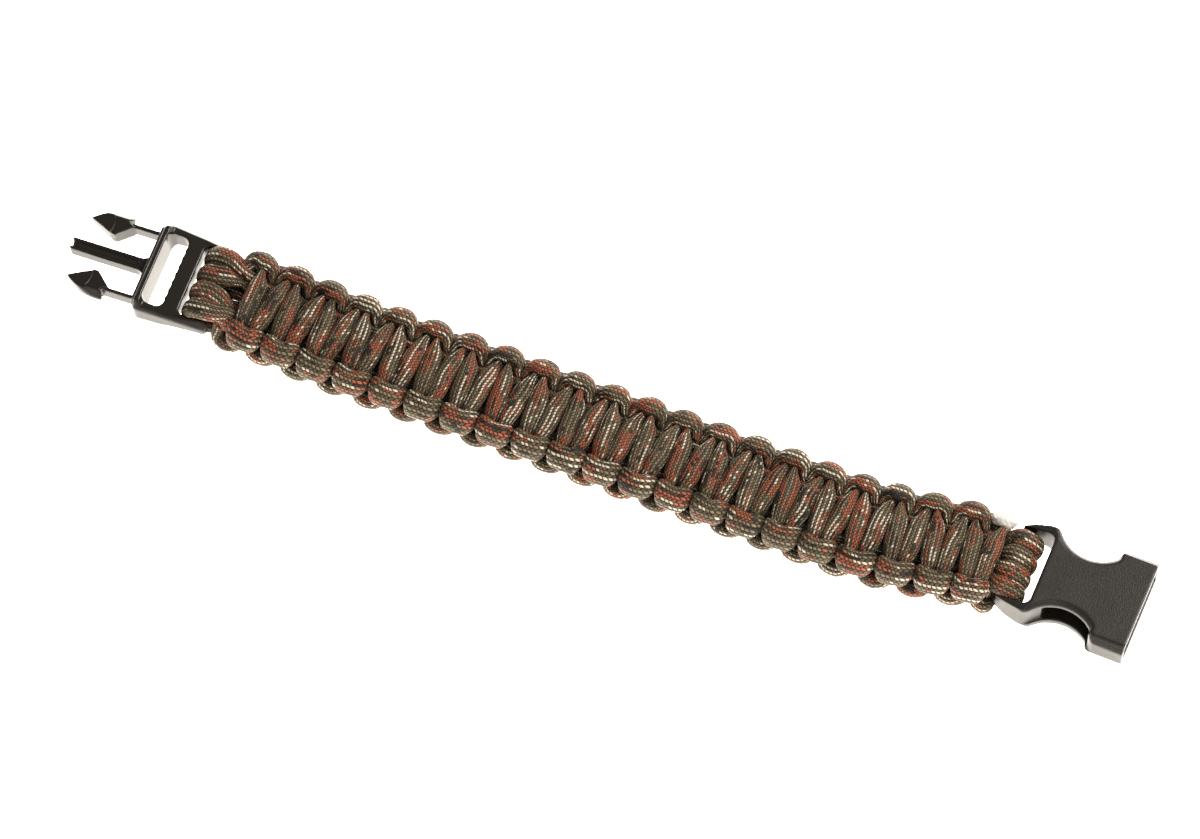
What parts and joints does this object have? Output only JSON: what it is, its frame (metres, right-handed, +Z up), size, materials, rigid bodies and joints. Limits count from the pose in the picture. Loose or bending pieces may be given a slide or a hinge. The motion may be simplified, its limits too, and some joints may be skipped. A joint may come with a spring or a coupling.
{
  "type": "paracord bracelet",
  "caption": "Woven cord bracelet laid open and straight: a cobra-stitch band of camouflage paracord with a black side-release buckle half at each end.",
  "frame": {"origin": "on the table, under the middle of the whole part's box", "axes": "+X along the band from the prong half to the socket half, +Y across the band, +Z up from the table"},
  "size_m": [0.2314, 0.0248, 0.0109],
  "materials": {
    "buckle_plastic": "moulded warm black plastic, fine matte grain with glossier edges",
    "working_cord": "braided nylon sheath, camouflage of olive brown, black, rust and beige",
    "core_cord": "braided nylon sheath, camouflage of olive brown, black, rust and beige"
  },
  "bodies": {
    "root": {"male_buckle": "buckle_plastic", "female_buckle": "buckle_plastic", "front_strand": "working_cord", "back_strand": "working_cord", "core_strand_1": "core_cord", "core_strand_2": "core_cord", "core_strand_3": "core_cord", "core_strand_4": "core_cord"}
  },
  "joints": []
}
